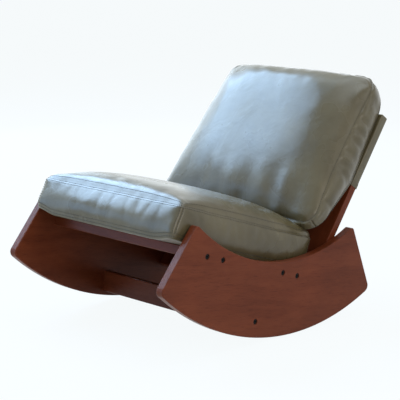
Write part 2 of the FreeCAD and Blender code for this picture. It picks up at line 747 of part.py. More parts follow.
def cushion_outline(form, inset, pull, z):
    """A rounded outline of four side arcs, pulled in at their middles, and four corner arcs."""
    x, y = form.half_width - inset, form.half_length - inset
    low, high = min(form.low_corner, CORNER_LIMIT * y), min(form.high_corner, CORNER_LIMIT * y)
    corners = [(1, -1, low), (1, 1, high), (-1, 1, high), (-1, -1, low)]
    bow = math.sqrt(0.5)
    edges = []
    for index, (sx, sy, radius) in enumerate(corners):
        centre = Vector(sx * (x - sy * form.taper - radius), sy * (y - radius), z)
        sides = [centre + Vector(sx * radius, 0, 0), centre + Vector(0, sy * radius, 0)]
        start, end = sides if sx * sy > 0 else reversed(sides)
        middle = centre + Vector(sx * bow * radius, sy * bow * radius, 0)
        edges.append(Part.Arc(start, middle, end).toShape())
        next_sx, next_sy, next_radius = corners[(index + 1) % 4]
        next_x = x - next_sy * form.taper - next_radius
        next_centre = Vector(next_sx * next_x, next_sy * (y - next_radius), z)
        if sx == next_sx:
            side_middle = Vector(sx * (x - pull), 0, z)
            side_end = next_centre + Vector(next_sx * next_radius, 0, 0)
        else:
            side_middle = Vector(0, sy * (y - pull), z)
            side_end = next_centre + Vector(0, next_sy * next_radius, 0)
        edges.append(Part.Arc(end, side_middle, side_end).toShape())
    return Part.Wire(edges)


def cushion_solid(form, skin, drop=0):
    """The cushion's whole form, drawn in by a skin on every side, with its crown dropped further."""
    tuck, pull = size("seam_tuck"), size("side_pull")
    middle = (form.low_seam + form.high_seam) / 2
    box = [cushion_outline(form, skin + 2 * tuck, pull, skin)]
    if skin < form.low_seam:
        box.append(cushion_outline(form, skin + tuck, pull, form.low_seam))
    box.append(cushion_outline(form, skin, -size("boxing_bulge"), middle))
    box.append(cushion_outline(form, skin + tuck, pull, form.high_seam))
    dome = []
    run = CROWN_RUN * (form.half_length - skin - tuck)
    for step in range(CROWN_STEPS + 1):
        turn = math.radians(90 * step / CROWN_STEPS)
        inset = skin + tuck + run * (1 - math.cos(turn))
        height = form.high_seam + (form.crown - skin - drop) * math.sin(turn)
        crown_pull = pull * (1 - CROWN_PULL_CHANGE * step / CROWN_STEPS)
        dome.append(cushion_outline(form, inset, crown_pull, height))
    return Part.makeLoft(box, True).fuse(Part.makeLoft(dome, True))


def filling(form, inset="0"):
    """The form of what fills a cushion, drawn in further by an inset."""
    return cushion_solid(form, size(f"{FILLING_SKIN} + {inset}"), size("crown_gap"))


def block(x0, x1, y0, y1, z0, z1):
    return Part.makeBox(x1 - x0, y1 - y0, z1 - z0, Vector(x0, y0, z0))


def side_wedge(form, sx, sy):
    """A prism round one side of the cushion, mitred through the corners."""
    x, y = form.half_width, form.half_length
    reach = min(x, y) / 2
    ends = [(x + reach, y + reach), (x - reach, y - reach)]
    if sx:
        points = [(sx * ends[0][0], -ends[0][1]), (sx * ends[0][0], ends[0][1]),
                  (sx * ends[1][0], ends[1][1]), (sx * ends[1][0], -ends[1][1])]
    else:
        points = [(-ends[0][0], sy * ends[0][1]), (ends[0][0], sy * ends[0][1]),
                  (ends[1][0], sy * ends[1][1]), (-ends[1][0], sy * ends[1][1])]
    corners = [Vector(px, py, form.low_seam) for px, py in points]
    face = Part.Face(Part.makePolygon(corners + corners[:1]))
    return face.extrude(Vector(0, 0, form.high_seam - form.low_seam))


def cell_starts(half_span, count):
    """Where each of a row of cells starts between the core's rims, and the width of a cell."""
    rim, web = size("core_rim"), size("core_web")
    width = (2 * half_span - 2 * rim - (count - 1) * web) / count
    return [rim - half_span + index * (width + web) for index in range(count)], width


def foam_core(form):
    """A foam core with cells moulded up into it from below, which keep it light."""
    roof = size("core_cell_depth")
    columns, across = cell_starts(form.half_width, CORE_COLUMNS)
    rows, along = cell_starts(form.half_length, CORE_ROWS)
    cells = [block(x, x + across, y, y + along, 0, roof) for x in columns for y in rows]
    return filling(form).cut(Part.makeCompound(cells))


def insert_case(form):
    """The wadded case of an insert for loose fill."""
    return filling(form).cut(filling(form, "insert_wall"))


def insert_baffles(form):
    """The walls inside an insert that keep its loose fill from sinking."""
    inside = filling(form, "insert_wall + fit_gap")
    far, half = 4 * form.half_width, size("baffle_thickness / 2")
    walls = []
    for number in range(1, BAFFLE_COUNT + 1):
        y = form.half_length * (2 * number / (BAFFLE_COUNT + 1) - 1)
        walls.append(inside.common(block(-far, far, y - half, y + half, -far, far)))
    return Part.makeCompound(walls)


def add_cushion(name, form, side_labels, zip_side, crown_label, base_label, contents, place):
    """Cuts the leather cover along its seams into its sewn panels, and adds what fills it."""
    far = 4 * form.half_width
    cover = cushion_solid(form, 0).cut(cushion_solid(form, size("leather_thickness")))
    middle = (form.low_seam + form.high_seam) / 2
    zip_half = size("zip_width / 2")
    zip_slab = block(-far, far, -far, far, middle - zip_half, middle + zip_half)
    pieces = {
        f"{name}_cover_{crown_label}": cover.common(block(-far, far, -far, far, form.high_seam, far)),
        f"{name}_cover_{base_label}": cover.common(block(-far, far, -far, far, -far, form.low_seam)),
    }
    for label, direction in side_labels.items():
        boxing = cover.common(side_wedge(form, *direction))
        if label == zip_side:
            pieces[f"{name}_zip"] = boxing.common(zip_slab)
            boxing = boxing.cut(zip_slab)
        pieces[f"{name}_{label}_boxing"] = boxing
    pieces.update({f"{name}_{label}": shape for label, shape in contents.items()})
    for label, shape in pieces.items():
        node = doc.addObject("Part::Feature", label)
        node.Shape = shape
        keep(node, label, place)


SEAT_SIDES = {"front": (0, -1), "rear": (0, 1), "left": (1, 0), "right": (-1, 0)}
BACK_SIDES = {"bottom": (0, -1), "top": (0, 1), "left": (1, 0), "right": (-1, 0)}
seat_form = CushionForm(SEAT_CUSHION_HALF, "seat_depth / 2", "seat_boxing", "seat_crown",
                        "seat_front_corner", "seat_rear_corner")
back_form = CushionForm("back_cushion_width / 2", "back_cushion_height / 2", "back_boxing", "back_crown",
                        "back_foot_corner", "back_top_corner", "back_taper")
seat_place = shift(SEAT, y="seat_depth / 2 - seat_overhang - rail_width / 2",
                   z="rail_thickness / 2 + fit_gap")
back_place = shift(BACK, y="-pocket_gap - leather_thickness - fit_gap",
                   z="back_cushion_foot + back_cushion_height / 2", turn=HEAD_FORWARD)
add_cushion("seat_cushion", seat_form, SEAT_SIDES, "rear", "top", "base",
            {"core": foam_core(seat_form)}, seat_place)
add_cushion("back_cushion", back_form, BACK_SIDES, "bottom", "front", "rear",
            {"insert": insert_case(back_form), "baffles": insert_baffles(back_form)}, back_place)

# Every object has to be sound before anything is written
doc.recompute()
for thing in doc.Objects:
    if "Invalid" in thing.State or "Error" in thing.State:
        raise RuntimeError(f"{thing.Label} failed: {thing.State}")
os.makedirs("parts", exist_ok=True)
for node in nodes:
    if node.Shape.isNull() or not node.Shape.isValid() or not node.Shape.Solids:
        raise RuntimeError(f"{node.Label} has no sound solid")
for node in nodes:
    node.Shape.exportStep(f"parts/{node.Label}.step")
print(len(nodes), "nodes written")
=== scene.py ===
import math

import bmesh
import bpy
import numpy as np
from mathutils import Matrix, Vector, noise


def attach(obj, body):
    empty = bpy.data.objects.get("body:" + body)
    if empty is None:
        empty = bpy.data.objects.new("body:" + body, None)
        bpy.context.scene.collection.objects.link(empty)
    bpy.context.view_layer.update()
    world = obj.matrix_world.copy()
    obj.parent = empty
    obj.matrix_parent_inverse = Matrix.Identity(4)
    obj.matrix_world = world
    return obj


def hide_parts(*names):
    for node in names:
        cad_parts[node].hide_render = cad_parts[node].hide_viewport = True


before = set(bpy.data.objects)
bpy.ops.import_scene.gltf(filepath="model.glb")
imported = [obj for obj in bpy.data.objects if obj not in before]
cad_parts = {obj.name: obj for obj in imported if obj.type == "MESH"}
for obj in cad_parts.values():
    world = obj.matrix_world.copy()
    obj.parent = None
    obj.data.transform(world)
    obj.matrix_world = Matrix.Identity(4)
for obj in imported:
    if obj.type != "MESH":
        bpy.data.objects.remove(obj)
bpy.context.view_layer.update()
scene = bpy.context.scene
scene.view_settings.view_transform = "Standard"

# Frames of the chair, its seat and its back, as in the part's source, in metres
REST_TILT = math.radians(8.9)
ROCKER_RADIUS = 0.704
SEAT_TILT = math.radians(8.9)
BACK_LEAN = math.radians(26)
BACK_OFFSET = 0.0905
FRONT_RAIL_Y = -0.2255
FRONT_RAIL_Z = 0.2135


def turn_x(angle):
    return Matrix.Rotation(angle, 4, "X")


def move(x, y, z):
    return Matrix.Translation((x, y, z))


CHAIR = move(0, 0, ROCKER_RADIUS) @ turn_x(-REST_TILT) @ move(0, 0, -ROCKER_RADIUS)
SEAT = CHAIR @ move(0, FRONT_RAIL_Y, FRONT_RAIL_Z) @ turn_x(-SEAT_TILT)
BACK_FOOT = move(0, BACK_OFFSET * math.cos(BACK_LEAN), -BACK_OFFSET * math.sin(BACK_LEAN))
BACK = CHAIR @ BACK_FOOT @ turn_x(-BACK_LEAN)


# Camera at the photograph's viewing angle
CAMERA_PLACE = (2.8518, -2.7623, 1.0994)
CAMERA_TARGET = (-0.020, -0.017, 0.313)


def add_camera():
    data = bpy.data.cameras.new("camera")
    camera = bpy.data.objects.new("camera", data)
    scene.collection.objects.link(camera)
    camera.location = CAMERA_PLACE
    aim = Vector(CAMERA_TARGET) - camera.location
    camera.rotation_euler = aim.to_track_quat("-Z", "Y").to_euler()
    data.sensor_width = 36
    data.lens = 130.2
    data.shift_x = -0.0125
    data.shift_y = 0.005
    scene.camera = camera


add_camera()


# Materials
def start_material(name):
    material = bpy.data.materials.new(name)
    material.use_nodes = True
    tree = material.node_tree
    tree.nodes.clear()
    output = tree.nodes.new("ShaderNodeOutputMaterial")
    shader = tree.nodes.new("ShaderNodeBsdfPrincipled")
    tree.links.new(shader.outputs["BSDF"], output.inputs["Surface"])
    return material, tree, shader


def add_node(tree, kind, inputs=None, **settings):
    """A node with its settings and its inputs, each a value or another node's output."""
    node = tree.nodes.new(kind)
    for name, value in settings.items():
        setattr(node, name, value)
    for name, value in (inputs or {}).items():
        if isinstance(value, bpy.types.NodeSocket):
            tree.links.new(value, node.inputs[name])
        else:
            node.inputs[name].default_value = value
    return node


def ramp(tree, factor, stops):
    """A colour ramp from (position, colour) stops."""
    node = add_node(tree, "ShaderNodeValToRGB", {"Fac": factor})
    elements = node.color_ramp.elements
    while len(elements) < len(stops):
        elements.new(1)
    for element, (position, colour) in zip(elements, stops):
        element.position = position
        element.color = (*colour, 1)
    return node.outputs["Color"]


def spread_value(tree, factor, low, high):
    node = add_node(tree, "ShaderNodeMapRange", {"Value": factor, "To Min": low, "To Max": high})
    return node.outputs["Result"]


def bump(tree, height, strength, distance, below=None):
    inputs = {"Height": height, "Strength": strength, "Distance": distance}
    if below is not None:
        inputs["Normal"] = below
    return add_node(tree, "ShaderNodeBump", inputs).outputs["Normal"]


def wood(name, along, dark, middle, light, roughness):
    """Stained wood with its grain along a direction of the row frame."""
    material, tree, shader = start_material(name)
    place = add_node(tree, "ShaderNodeTexCoord").outputs["Object"]
    turn = Vector(along).rotation_difference(Vector((1, 0, 0))).to_euler()
    turned = add_node(tree, "ShaderNodeMapping", {"Vector": place, "Rotation": turn}).outputs["Vector"]
    stretched = add_node(tree, "ShaderNodeMapping",
                         {"Vector": turned, "Scale": (0.05, 1, 1)}).outputs["Vector"]
    waver = add_node(tree, "ShaderNodeTexNoise", {"Vector": turned, "Scale": 5.0, "Detail": 2.0})
    bent = add_node(tree, "ShaderNodeVectorMath", {0: waver.outputs["Color"]}, operation="SCALE")
    bent.inputs["Scale"].default_value = 0.05
    grain_place = add_node(tree, "ShaderNodeVectorMath", {0: stretched, 1: bent.outputs[0]}).outputs[0]
    figure = add_node(tree, "ShaderNodeTexNoise",
                      {"Vector": grain_place, "Scale": 34.0, "Detail": 7.0, "Roughness": 0.6})
    pores = add_node(tree, "ShaderNodeTexNoise",
                     {"Vector": stretched, "Scale": 620.0, "Detail": 3.0, "Roughness": 0.65})
    cloud = add_node(tree, "ShaderNodeTexNoise", {"Vector": place, "Scale": 7.0, "Detail": 2.0})
    colour = ramp(tree, figure.outputs["Fac"], [(0.3, dark), (0.52, middle), (0.75, light)])
    fleck = ramp(tree, pores.outputs["Fac"], [(0.34, (0.70, 0.66, 0.64)), (0.46, (1, 1, 1))])
    shade = ramp(tree, cloud.outputs["Fac"], [(0.3, (0.86, 0.85, 0.86)), (0.7, (1.1, 1.1, 1.1))])
    for layer in (fleck, shade):
        mixed = tree.nodes.new("ShaderNodeMix")
        mixed.data_type = "RGBA"
        mixed.blend_type = "MULTIPLY"
        mixed.inputs[0].default_value = 1
        tree.links.new(colour, mixed.inputs[6])
        tree.links.new(layer, mixed.inputs[7])
        colour = mixed.outputs[2]
    tree.links.new(colour, shader.inputs["Base Color"])
    rough = spread_value(tree, figure.outputs["Fac"], roughness + 0.06, roughness - 0.06)
    tree.links.new(rough, shader.inputs["Roughness"])
    shader.inputs["Specular IOR Level"].default_value = 0.14
    tree.links.new(bump(tree, pores.outputs["Fac"], 0.12, 0.0004), shader.inputs["Normal"])
    return material


def leather(name, low, high, roughness):
    """Soft leather with fine grain, small creases and a low sheen."""
    material, tree, shader = start_material(name)
    place = add_node(tree, "ShaderNodeTexCoord").outputs["Object"]
    mottle = add_node(tree, "ShaderNodeTexNoise",
                      {"Vector": place, "Scale": 9.0, "Detail": 5.0, "Roughness": 0.6})
    grain = add_node(tree, "ShaderNodeTexVoronoi", {"Vector": place, "Scale": 640.0, "Randomness": 1.0})
    crease = add_node(tree, "ShaderNodeTexNoise",
                      {"Vector": place, "Scale": 75.0, "Detail": 4.0, "Roughness": 0.55, "Distortion": 0.7})
    fold = add_node(tree, "ShaderNodeTexNoise",
                    {"Vector": place, "Scale": 13.0, "Detail": 3.0, "Distortion": 0.4})
    worn = add_node(tree, "ShaderNodeTexNoise",
                    {"Vector": place, "Scale": 6.0, "Detail": 3.0, "Roughness": 0.6})
    colour = ramp(tree, mottle.outputs["Fac"], [(0.3, low), (0.72, high)])
    tree.links.new(colour, shader.inputs["Base Color"])
    rough = spread_value(tree, crease.outputs["Fac"], roughness - 0.05, roughness + 0.08)
    tree.links.new(rough, shader.inputs["Roughness"])
    shader.inputs["Specular IOR Level"].default_value = 0.12
    shader.inputs["Coat Weight"].default_value = 0.8
    sheen = spread_value(tree, worn.outputs["Fac"], 0.10, 0.50)
    tree.links.new(sheen, shader.inputs["Coat Roughness"])
    shader.inputs["Coat IOR"].default_value = 1.5
    broad = bump(tree, fold.outputs["Fac"], 0.5, 0.010)
    small = bump(tree, crease.outputs["Fac"], 0.22, 0.0015, broad)
    tree.links.new(bump(tree, grain.outputs["Distance"], 0.22, 0.0005, small), shader.inputs["Normal"])
    return material


def plain(name, low, high, roughness, metallic, scale, bumpiness):
    """A material with even, fine variation, for small pieces."""
    material, tree, shader = start_material(name)
    place = add_node(tree, "ShaderNodeTexCoord").outputs["Object"]
    texture = add_node(tree, "ShaderNodeTexNoise", {"Vector": place, "Scale": scale, "Detail": 3.0})
    tree.links.new(ramp(tree, texture.outputs["Fac"], [(0.3, low), (0.7, high)]), shader.inputs["Base Color"])
    rough = spread_value(tree, texture.outputs["Fac"], roughness - 0.06, roughness + 0.06)
    tree.links.new(rough, shader.inputs["Roughness"])
    shader.inputs["Metallic"].default_value = metallic
    tree.links.new(bump(tree, texture.outputs["Fac"], bumpiness, 0.0005), shader.inputs["Normal"])
    return material


def webbing_material():
    """Woven elastic webbing with ribs along it."""
    material, tree, shader = start_material("webbing")
    place = add_node(tree, "ShaderNodeTexCoord").outputs["Object"]
    ribs = add_node(tree, "ShaderNodeTexWave", {"Vector": place, "Scale": 160.0, "Distortion": 0.4},
                    bands_direction="X")
    picks = add_node(tree, "ShaderNodeTexNoise", {"Vector": place, "Scale": 700.0, "Detail": 2.0})
    colour = ramp(tree, ribs.outputs["Fac"], [(0.2, (0.018, 0.016, 0.014)), (0.8, (0.06, 0.052, 0.045))])
    tree.links.new(colour, shader.inputs["Base Color"])
    shader.inputs["Roughness"].default_value = 0.85
    weave = bump(tree, ribs.outputs["Fac"], 0.5, 0.0006)
    tree.links.new(bump(tree, picks.outputs["Fac"], 0.3, 0.0003, weave), shader.inputs["Normal"])
    return material


def along_chair(direction):
    return (CHAIR.to_3x3() @ Vector(direction)).normalized()


WOOD_ROUGHNESS = 0.36
WOOD_TONES = ((0.108, 0.0215, 0.0066), (0.140, 0.0300, 0.0098), (0.166, 0.0385, 0.0135))
panel_wood = wood("panel_wood", along_chair((0, 1, 0)), *WOOD_TONES, WOOD_ROUGHNESS)
rail_wood = wood("rail_wood", (1, 0, 0), *WOOD_TONES, WOOD_ROUGHNESS)
upright_grain = (BACK.to_3x3() @ Vector((0, 0, 1))).normalized()
upright_wood = wood("upright_wood", upright_grain, *WOOD_TONES, WOOD_ROUGHNESS)
dowel_wood = wood("dowel_wood", (1, 0, 0), (0.36, 0.24, 0.14), (0.47, 0.33, 0.2), (0.56, 0.41, 0.26), 0.6)
hide = leather("leather", (0.066, 0.051, 0.022), (0.112, 0.089, 0.043), 0.40)
thread = plain("thread", (0.026, 0.022, 0.015), (0.052, 0.045, 0.032), 0.7, 0, 900, 0.4)
dark_steel = plain("dark_steel", (0.006, 0.006, 0.006), (0.016, 0.015, 0.014), 0.42, 0.9, 500, 0.15)
zip_tape = plain("zip_tape", (0.04, 0.038, 0.033), (0.07, 0.066, 0.058), 0.8, 0, 1200, 0.5)
zip_metal = plain("zip_metal", (0.09, 0.075, 0.05), (0.16, 0.13, 0.085), 0.35, 1, 300, 0.2)
webbing = webbing_material()

# The first word found in a node's name gives its material, so small hardware comes before what it sits in
NODE_MATERIALS = {
    "dowels": dowel_wood,
    "tacks": dark_steel,
    "bolts": dark_steel,
    "washers": dark_steel,
    "nuts": dark_steel,
    "screws": dark_steel,
    "seat_strap": webbing,
    "rocker_panel": panel_wood,
    "rail": rail_wood,
    "stretcher": rail_wood,
    "upright": upright_wood,
    "cleat": upright_wood,
}


def dress_node(name, node):
    """Gives a CAD node that stays its own material."""
    for word, material in NODE_MATERIALS.items():
        if word in name:
            node.data.materials.clear()
            node.data.materials.append(material)
            return


for name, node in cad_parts.items():
    dress_node(name, node)


# Meshes
def add_mesh(name, points, faces, material, body):
    mesh = bpy.data.meshes.new(name)
    mesh.from_pydata([tuple(point) for point in points], [], [tuple(face) for face in faces])
    mesh.update()
    mesh.materials.append(material)
    mesh.polygons.foreach_set("use_smooth", [True] * len(mesh.polygons))
    piece = bpy.data.objects.new(name, mesh)
    scene.collection.objects.link(piece)
    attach(piece, body)
    return piece


def coordinates(mesh):
    flat = np.empty(len(mesh.vertices) * 3)
    mesh.vertices.foreach_get("co", flat)
    return flat.reshape(-1, 3)


def set_coordinates(mesh, points):
    mesh.vertices.foreach_set("co", np.asarray(points, dtype=float).ravel())
    mesh.update()


def normals(mesh):
    flat = np.empty(len(mesh.vertices) * 3)
    mesh.vertices.foreach_get("normal", flat)
    return flat.reshape(-1, 3)


def smooth_step(value, low, high):
    share = np.clip((value - low) / (high - low), 0, 1)
    return share * share * (3 - 2 * share)


def resample(points, count, spread=None):
    """Points along a polyline, both ends kept, at equal steps or at steps that a function spreads."""
    points = np.asarray(points, dtype=float)
    steps = np.r_[0, np.cumsum(np.linalg.norm(np.diff(points, axis=0), axis=1))]
    wanted = np.linspace(0, steps[-1], count + 1)
    if spread:
        wanted = spread(wanted)
    return np.stack([np.interp(wanted, steps, points[:, axis]) for axis in range(points.shape[1])], axis=1)


# Sizes in metres, and counts of steps, that both cushions share
LOW_SEAM = 0.011
GRID = 0.0075
SIDE_DETAIL = 40
CORNER_DETAIL = 12
LEAST_CORNER = 0.004
CROWN_REACH = 0.26
CROWN_RUN = 0.9
SEAM_PULL = 0.005
BASE_TUCK = 0.003
SEAM_SINK = 0.006
LOW_SEAM_SINK = 0.0025
STITCH_SINK = 0.0005
SEAM_ROW = 0.4
SEAM_CREASE = 0.85
BOXING_BULGE = 1.6
STITCH_GAP = 0.0035
CORNER_SINK = 0.004
PUCKER_PITCH = 20
PUCKER_SHARPNESS = 2.4
PUCKER_LIFT = 0.4
CALMING_STEPS = 14
CALMING_SHARE = 0.8
KEPT_ROWS = 3
NOISE_SEED = 11
UNEVENNESS = 0.0012
UNEVEN_SCALE = 30
BOXING_SPARE = 0.042
CROWN_SPARE = 0.006
SEAM_SPARE = 0.004
PRESSURE = 4
CLOTH_FRAMES = 22
FARTHEST_MOVE = 0.026


# Cushions, each drawn lying flat as in the part's source: X across, Y along, Z up from its rest
class Cushion:
    """The sizes of one cushion in metres. Low is its end at -Y."""

    def __init__(self, half_width, half_length, low_corner, high_corner, taper, boxing, crown, fullness,
                 high_run, rear_rounding):
        self.half_width = half_width
        self.half_length = half_length
        self.low_corner = low_corner
        self.high_corner = high_corner
        self.taper = taper
        self.low_seam = LOW_SEAM
        self.high_seam = LOW_SEAM + boxing
        self.crown = crown
        self.fullness = fullness
        self.high_run = high_run
        self.rear_rounding = rear_rounding


def grid_counts(form):
    """The numbers of steps of a cushion's grid along it and across it."""
    return round(2 * form.half_length / GRID), round(2 * form.half_width / GRID)


def near_border(share):
    """Draws the rows next to the border of a grid closer to it."""
    drawn = share.copy()
    drawn[1] = share[0] + SEAM_ROW * (share[1] - share[0])
    drawn[-2] = share[-1] + SEAM_ROW * (share[-2] - share[-1])
    return drawn


def side_line(form, inset, pull, side, rear_share):
    """One side of an outline, from the middle of one corner to the middle of the next, counter-clockwise."""
    high_corner = form.high_corner + form.rear_rounding * rear_share
    corners = [(1, -1, form.low_corner), (1, 1, high_corner), (-1, 1, high_corner), (-1, -1, form.low_corner)]
    starts = [-math.pi / 4, math.pi / 4, 3 * math.pi / 4, 5 * math.pi / 4]

    def corner(index, first, last):
        sx, sy, radius = corners[index % 4]
        radius = max(radius - inset, LEAST_CORNER)
        centre_x = sx * (form.half_width - sy * form.taper - inset - radius)
        centre_y = sy * (form.half_length - inset - radius)
        angles = np.linspace(first, last, CORNER_DETAIL)
        return np.stack([centre_x + radius * np.cos(angles), centre_y + radius * np.sin(angles)], axis=1)

    first = starts[side]
    leave = corner(side, first, first + math.pi / 4)
    arrive = corner(side + 1, first + math.pi / 4, first + math.pi / 2)
    share = np.linspace(0, 1, SIDE_DETAIL)[1:-1, None]
    straight = leave[-1] * (1 - share) + arrive[0] * share
    inward = -np.array([math.cos(first + math.pi / 4), math.sin(first + math.pi / 4)])
    straight = straight + inward * pull * (4 * share * (1 - share))
    return np.concatenate([leave, straight, arrive])


def loop_points(form, inset, pull, counts, z):
    """The outline at one height, as four sides of the given numbers of steps."""
    rear_share = 1 - z / form.high_seam
    lines = [side_line(form, inset, pull, side, rear_share) for side in range(4)]
    return [resample(line, counts[side % 2], near_border) for side, line in enumerate(lines)]


def fill_patch(sides, counts):
    """A grid of points inside four sides, blended from them: rows run along -Y to +Y, columns along X."""
    along, across = counts
    right, top, left, bottom = sides
    left, top = left[::-1], top[::-1]
    rows = near_border(np.linspace(0, 1, along + 1))[:, None, None]
    columns = near_border(np.linspace(0, 1, across + 1))[None, :, None]
    lengthwise = left[:, None] * (1 - columns) + right[:, None] * columns
    crosswise = bottom[None] * (1 - rows) + top[None] * rows
    ends = (bottom[0] * (1 - columns) + bottom[-1] * columns) * (1 - rows)
    ends = ends + (top[0] * (1 - columns) + top[-1] * columns) * rows
    return lengthwise + crosswise - ends


def ring_indices(along, across, depth=0):
    """A counter-clockwise ring of indices, some steps inside the border of a grid, from +X and -Y."""
    def spot(row, column):
        return row * (across + 1) + column
    low_row, high_row, low_column, high_column = depth, along - depth, depth, across - depth
    ring = [spot(row, high_column) for row in range(low_row, high_row)]
    ring += [spot(high_row, column) for column in range(high_column, low_column, -1)]
    ring += [spot(row, low_column) for row in range(high_row, low_row, -1)]
    ring += [spot(low_row, column) for column in range(low_column, high_column)]
    return ring


def swell(place, half, high_run=CROWN_RUN):
    """The share of the crown's height across one direction, steep at the seams and flat in the middle."""
    run = np.where(place > 0, high_run, CROWN_RUN) * min(half, CROWN_REACH)
    share = np.minimum(1, (half - np.abs(place)) / run)
    return np.sqrt(1 - (1 - share) ** 2)


def boxing_levels(form):
    """Height, inset and inward pull of each ring, from the crown's seam down to the lip."""
    height = form.high_seam - form.low_seam - 2 * STITCH_GAP
    steps = round(height / GRID)
    levels = [(form.high_seam - STITCH_GAP, STITCH_SINK, SEAM_PULL)]
    for step in range(1, steps):
        share = step / steps
        bulge = 4 * share * (1 - share) * BOXING_BULGE
        levels.append((form.high_seam - STITCH_GAP - share * height, 0, SEAM_PULL * (1 - bulge)))
    levels.append((form.low_seam + STITCH_GAP, STITCH_SINK, SEAM_PULL))
    levels.append((form.low_seam, LOW_SEAM_SINK, SEAM_PULL))
    levels.append((form.low_seam - STITCH_GAP, BASE_TUCK, SEAM_PULL))
    return levels


def crown_grid(form, crown_start, counts):
    """The points of the crown inside its seam."""
    along, across = counts
    share_y = near_border(np.linspace(-1, 1, along + 1))[:, None]
    share_x = near_border(np.linspace(-1, 1, across + 1))[None, :]
    flat = fill_patch(loop_points(form, SEAM_SINK, SEAM_PULL, counts, form.high_seam), counts)
    rise = swell(share_x * form.half_width, form.half_width)
    rise = rise * swell(share_y * form.half_length, form.half_length, form.high_run)
    rise = rise ** form.fullness
    return np.dstack([flat, form.high_seam + crown_start * rise])


def join_rings(faces, upper, lower):
    """Adds a band of faces between two rings of points."""
    for step in range(len(lower)):
        after = (step + 1) % len(lower)
        faces.append((upper[step], lower[step], lower[after], upper[after]))


def cushion_mesh(form, crown_start):
    """Points and faces of a boxed cushion, with the rings that its seams and stitches follow."""
    counts = grid_counts(form)
    along, across = counts
    points, faces, rings = [], [], {}

    def add(block):
        start = sum(len(part) for part in points)
        points.append(np.asarray(block, dtype=float).reshape(-1, 3))
        return start

    def grid_faces(start, up):
        for row in range(along):
            for column in range(across):
                a = start + row * (across + 1) + column
                quad = (a, a + 1, a + across + 2, a + across + 1)
                faces.append(quad if up else quad[::-1])

    top_start = add(crown_grid(form, crown_start, counts))
    grid_faces(top_start, True)
    previous = [top_start + index for index in ring_indices(along, across)]
    rings["top_seam"] = previous
    rings["top_stitch"] = [top_start + index for index in ring_indices(along, across, 1)]

    levels = boxing_levels(form)
    boxing = []
    for z, inset, pull in levels:
        sides = loop_points(form, inset, pull, counts, z)
        flat = np.concatenate([side[:-1] for side in sides])
        start = add(np.column_stack([flat, np.full(len(flat), z)]))
        ring = list(range(start, start + len(flat)))
        join_rings(faces, previous, ring)
        previous = ring
        boxing.append(ring)
    rings["boxing_top_stitch"] = boxing[0]
    rings["boxing_middle"] = boxing[len(levels) // 2 - 1]
    rings["boxing_low_stitch"] = boxing[-3]
    rings["low_seam"] = boxing[-2]
    rings["lip_stitch"] = boxing[-1]

    base = fill_patch(loop_points(form, 2 * BASE_TUCK, SEAM_PULL, counts, 0), counts)
    base_start = add(np.dstack([base, np.zeros(base.shape[:2])]))
    grid_faces(base_start, False)
    join_rings(faces, previous, [base_start + index for index in ring_indices(along, across)])
    rings["base"] = list(range(base_start, base_start + (along + 1) * (across + 1)))
    rings["boxing"] = boxing[:-2]
    rings["corners"] = [0, along, along + across, 2 * along + across]
    return np.concatenate(points), faces, rings


def inflate(piece, pinned, slack, pressure, frames, cap):
    """Blows the cushion up between its pinned seams with cloth simulation, and keeps the result.

    Slack gives each point's share of spare leather, which turns into puckers."""
    start = coordinates(piece.data)
    group = piece.vertex_groups.new(name="pinned")
    group.add([int(index) for index in pinned], 1, "REPLACE")
    spare = piece.vertex_groups.new(name="spare")
    most = max(slack)
    for index, share in enumerate(slack):
        spare.add([index], float(share / most), "REPLACE")
    cloth = piece.modifiers.new("cloth", "CLOTH")
    settings = cloth.settings
    settings.quality = 6
    settings.mass = 0.25
    settings.tension_stiffness = 14
    settings.compression_stiffness = 10
    settings.shear_stiffness = 5
    settings.bending_stiffness = 2.5
    settings.vertex_group_mass = "pinned"
    settings.use_pressure = True
    settings.uniform_pressure_force = pressure
    settings.vertex_group_shrink = "spare"
    settings.shrink_min = 0
    settings.shrink_max = -float(most)
    settings.effector_weights.gravity = 0
    cloth.collision_settings.use_collision = False
    cloth.point_cache.frame_start = 1
    cloth.point_cache.frame_end = frames
    for step in range(1, frames + 1):
        scene.frame_set(step)
    found = piece.evaluated_get(bpy.context.evaluated_depsgraph_get())
    moved = coordinates(found.data) - start
    length = np.linalg.norm(moved, axis=1, keepdims=True)
    moved = moved * np.minimum(1, cap / np.maximum(length, 1e-9))
    piece.modifiers.remove(cloth)
    piece.vertex_groups.clear()
    scene.frame_set(1)
    set_coordinates(piece.data, start + moved)


def roughen(points, amount, scale, seed):
    """Small, smooth, seeded unevenness, so that folds don't come out regular."""
    noise.seed_set(NOISE_SEED)
    offsets = [noise.noise_vector(Vector(point) * scale + Vector((seed, 0, 0))) for point in points]
    return points + amount * np.array([tuple(offset) for offset in offsets])


def spare_leather(points, rings, form, low_spare):
    """The share of spare leather at each point: most in the boxing, little on the crown."""
    crown_count = min(rings["boxing_top_stitch"])
    reach = np.minimum(form.half_width - np.abs(points[:, 0]), form.half_length - np.abs(points[:, 1]))
    slack = np.full(len(points), BOXING_SPARE)
    near_seam = 1 - smooth_step(reach[:crown_count], 0.01, 0.07)
    near_low_end = 1 - smooth_step(points[:crown_count, 1] + form.half_length, 0.02, 0.16)
    slack[:crown_count] = CROWN_SPARE + SEAM_SPARE * near_seam
    slack[:crown_count] += low_spare * near_low_end
    slack[rings["base"]] = 0
    return slack


